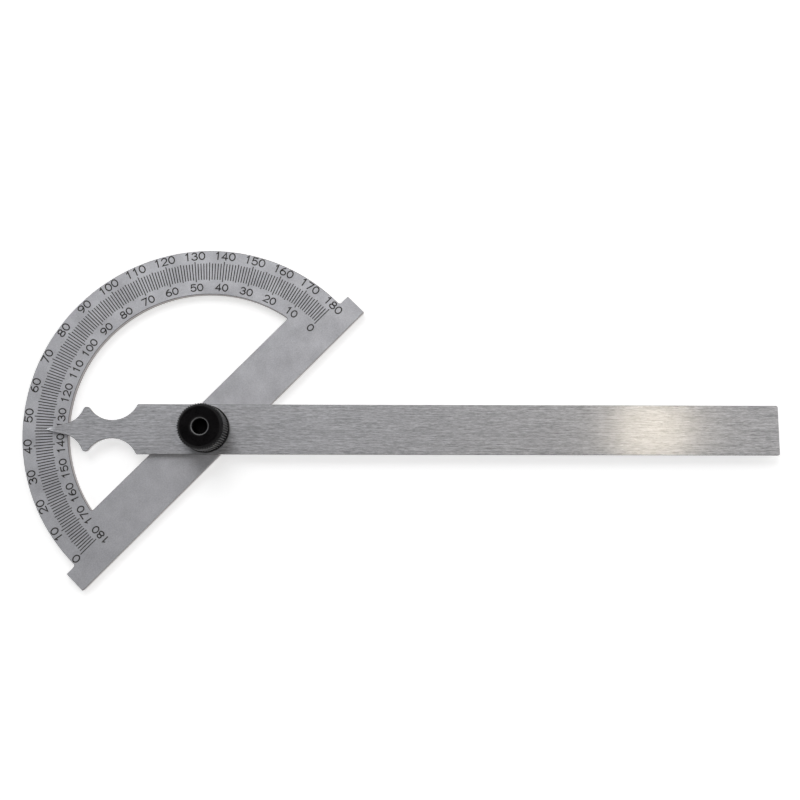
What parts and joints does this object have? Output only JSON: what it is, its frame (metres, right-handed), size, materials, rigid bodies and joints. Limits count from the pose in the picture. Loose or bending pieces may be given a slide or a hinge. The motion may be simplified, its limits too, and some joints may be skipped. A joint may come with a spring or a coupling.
{
  "type": "protractor",
  "caption": "Steel protractor with a closed graduated arc and base bar, and a long swinging blade with a spear pointer, held by a knurled clamp nut.",
  "frame": {"origin": "on the pivot axis, at the back face of the dial plate", "axes": "+X along the base bar towards the zero of the inner scale, +Y from the bar towards the arc, +Z out of the graduated face"},
  "size_m": [0.1336, 0.1328, 0.0101],
  "materials": {
    "satin_steel": "satin, fine grain, etched dark graduations",
    "brushed_blade_steel": "brushed lengthwise",
    "black_screw": "blackened steel",
    "black_washer": "blackened steel",
    "black_nut": "blackened steel, straight knurl"
  },
  "bodies": {
    "dial": {"dial_plate": "satin_steel", "clamp_screw": "black_screw"},
    "blade": {"blade": "brushed_blade_steel"},
    "washer": {"clamp_washer": "black_washer"},
    "nut": {"clamp_nut": "black_nut"}
  },
  "joints": [
    {"name": "blade_swing", "type": "hinge", "parent": "dial", "child": "blade", "pos_m": [0, 0, 0.002], "axis": [0, 0, 1], "continuous": true},
    {"name": "nut_lift", "type": "slide", "parent": "dial", "child": "washer", "axis": [0, 0, 1], "range_m": [0, 0.0021]},
    {"name": "nut_turn", "type": "hinge", "parent": "washer", "child": "nut", "pos_m": [0, 0, 0.006], "axis": [0, 0, 1], "range_deg": [0, 1080]}
  ],
  "couplings": [
    {"joint": "nut_turn", "follows": "nut_lift", "rad_per_m": 8976}
  ]
}
